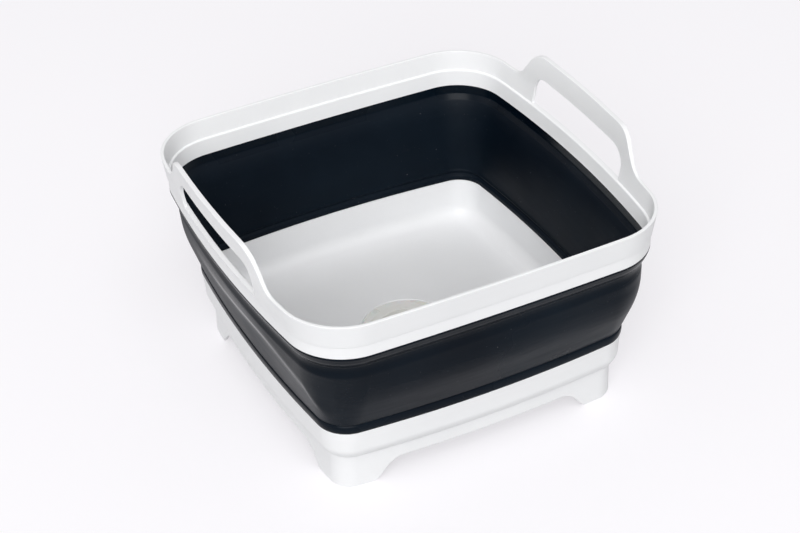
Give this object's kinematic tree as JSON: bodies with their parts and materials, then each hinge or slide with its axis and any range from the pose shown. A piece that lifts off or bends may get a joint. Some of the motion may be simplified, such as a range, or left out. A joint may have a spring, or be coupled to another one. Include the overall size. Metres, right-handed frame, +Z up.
{
  "type": "collapsible camp sink",
  "caption": "Collapsible washing-up sink with a rigid rim and handles, a folding silicone wall and a footed base with a lift-up drain plug.",
  "frame": {"origin": "centre of the sink's footprint, on the plane that its feet stand on", "axes": "+X across the two handles, +Y towards the back, +Z up"},
  "size_m": [0.3222, 0.308, 0.2006],
  "materials": {
    "white_plastic": "satin moulded polypropylene",
    "black_silicone": "satin silicone",
    "clear_silicone": "milky silicone"
  },
  "bodies": {
    "base": {"base_tray": "white_plastic", "silicone_wall": "black_silicone"},
    "rim": {"rim_frame": "white_plastic"},
    "plug": {"drain_plug": "white_plastic", "plug_seal": "clear_silicone", "catch_ring": "white_plastic"}
  },
  "joints": [
    {"name": "rim_fold", "type": "slide", "parent": "base", "child": "rim", "axis": [0, 0, 1], "range_m": [-0.13, 0], "deforming": ["silicone_wall"]},
    {"name": "plug_lift", "type": "slide", "parent": "base", "child": "plug", "axis": [0, 0, 1], "range_m": [0, 0.009]}
  ]
}
